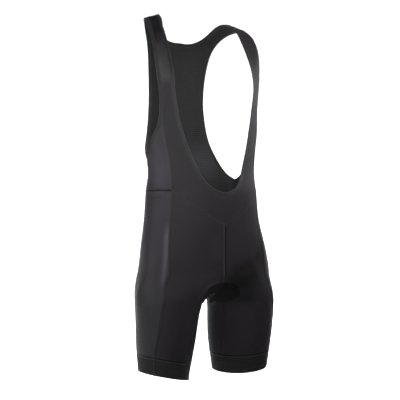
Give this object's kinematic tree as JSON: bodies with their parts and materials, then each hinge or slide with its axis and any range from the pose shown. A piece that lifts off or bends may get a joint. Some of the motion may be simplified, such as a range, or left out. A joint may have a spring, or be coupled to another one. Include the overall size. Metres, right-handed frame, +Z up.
{
  "type": "bib liner shorts",
  "caption": "Close-fitting one-piece bib shorts in dark stretch knit, with shoulder straps, a mesh back and short banded legs, in the hollow form they have when worn.",
  "frame": {"origin": "on the middle plane, level with the tops of the shoulder straps, where the garment is held", "axes": "+Z up, -Y the way the wearer faces, +X the wearer's left"},
  "size_m": [0.366, 0.2254, 0.8738],
  "materials": {
    "warp_knit_nylon_elastane": "matt warp knit",
    "smooth_side_knit": "smooth knit with a soft sheen",
    "fine_mesh_knit": "matt fine mesh",
    "brushed_gusset_knit": "brushed",
    "ribbed_elastic_band": "fine ribbed",
    "folded_elastic_binding": "folded tape, soft sheen"
  },
  "bodies": {
    "root": {"front_bib": "warp_knit_nylon_elastane", "back_mesh": "fine_mesh_knit", "crotch_gusset": "brushed_gusset_knit", "neck_binding": "folded_elastic_binding", "side_bib_right": "smooth_side_knit", "front_leg_right": "warp_knit_nylon_elastane", "side_leg_right": "smooth_side_knit", "back_leg_right": "warp_knit_nylon_elastane", "leg_band_right": "ribbed_elastic_band", "armhole_binding_right": "folded_elastic_binding", "side_bib_left": "smooth_side_knit", "front_leg_left": "warp_knit_nylon_elastane", "side_leg_left": "smooth_side_knit", "back_leg_left": "warp_knit_nylon_elastane", "leg_band_left": "ribbed_elastic_band", "armhole_binding_left": "folded_elastic_binding"}
  },
  "joints": []
}
